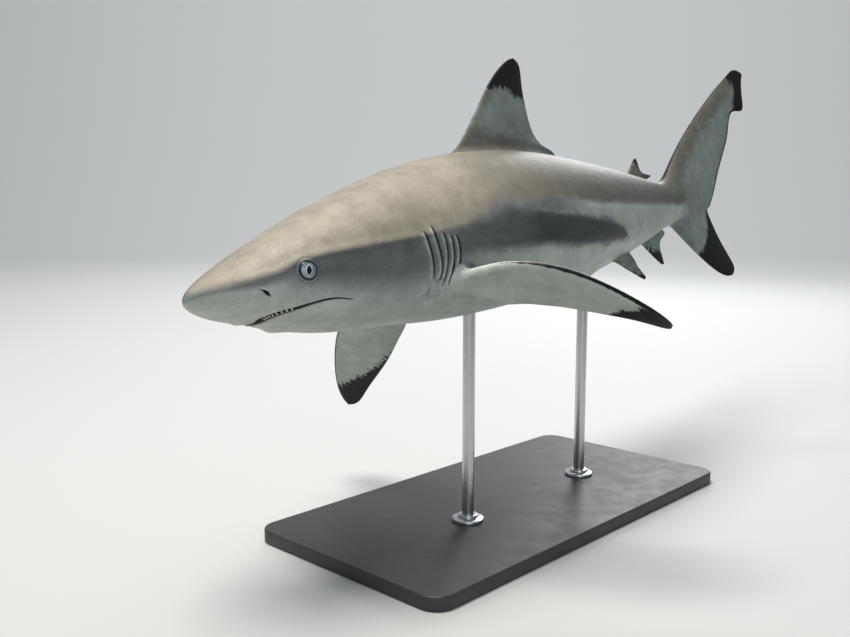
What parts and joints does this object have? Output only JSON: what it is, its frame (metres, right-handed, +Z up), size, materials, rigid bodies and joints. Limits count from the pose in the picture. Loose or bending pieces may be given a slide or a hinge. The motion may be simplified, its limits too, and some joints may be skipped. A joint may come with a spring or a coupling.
{
  "type": "blacktip reef shark model",
  "caption": "Life-size still model of a blacktip reef shark banking into a turn, held on a flat display base by slim rods.",
  "frame": {"origin": "on the floor, under the middle of the whole part's box", "axes": "-X is the way the shark heads, -Y its left side, +Z up"},
  "size_m": [1.3314, 0.5384, 0.6874],
  "materials": {
    "skin": "warm grey-brown back, blue-grey flank, greenish white belly, black fin tips, fine-grained satin",
    "eye": "pale grey-blue iris with an upright slit pupil, wet gloss",
    "teeth": "off-white, satin",
    "base_paint": "satin near-black paint",
    "rod_steel": "fine brushed"
  },
  "bodies": {
    "root": {"head": "skin", "lower_jaw": "skin", "trunk": "skin", "tail": "skin", "caudal_fin_upper": "skin", "caudal_fin_lower": "skin", "first_dorsal_fin": "skin", "second_dorsal_fin": "skin", "anal_fin": "skin", "pectoral_fin_left": "skin", "pectoral_fin_right": "skin", "pelvic_fin_left": "skin", "pelvic_fin_right": "skin", "eye_left": "eye", "eye_right": "eye", "stand_base": "base_paint", "stand_rod_front": "rod_steel", "stand_rod_rear": "rod_steel", "stand_collar_front": "rod_steel", "stand_collar_rear": "rod_steel"}
  },
  "joints": []
}
